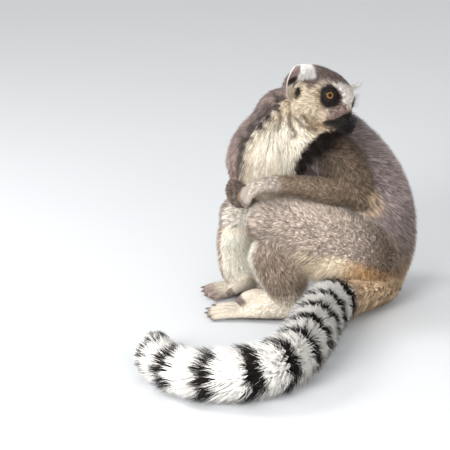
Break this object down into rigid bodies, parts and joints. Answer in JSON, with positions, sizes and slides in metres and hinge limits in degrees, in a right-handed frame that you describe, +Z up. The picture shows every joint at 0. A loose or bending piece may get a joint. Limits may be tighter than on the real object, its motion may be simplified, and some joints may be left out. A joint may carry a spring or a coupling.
{
  "type": "ring-tailed lemur",
  "caption": "Life-size museum model of a ring-tailed lemur sitting upright, knees drawn up, forearms across them, looking back over one shoulder, with its banded tail curled on the ground.",
  "frame": {"origin": "centre of the rump's flat on the ground", "axes": "+Z up. The pelvis faces -Y, +X is the animal's left. The chest is turned 32 degrees to the left of the pelvis and the face 124 degrees."},
  "size_m": [0.383, 0.3977, 0.3024],
  "materials": {
    "coat": "soft dense fur, grey and cream with black bands on the tail",
    "nose_leather": "bare black skin, slightly moist",
    "eye": "polished amber"
  },
  "bodies": {
    "root": {"head": "coat", "ear_left": "coat", "ear_right": "coat", "neck": "coat", "chest": "coat", "abdomen": "coat", "thigh_left": "coat", "thigh_right": "coat", "shank_left": "coat", "shank_right": "coat", "foot_left": "coat", "foot_right": "coat", "upper_arm_left": "coat", "upper_arm_right": "coat", "forearm_left": "coat", "forearm_right": "coat", "hand_left": "coat", "hand_right": "coat", "tail_1": "coat", "tail_2": "coat", "tail_3": "coat", "tail_4": "coat", "tail_5": "coat", "nose": "nose_leather", "eye_left": "eye", "eye_right": "eye"}
  },
  "joints": []
}
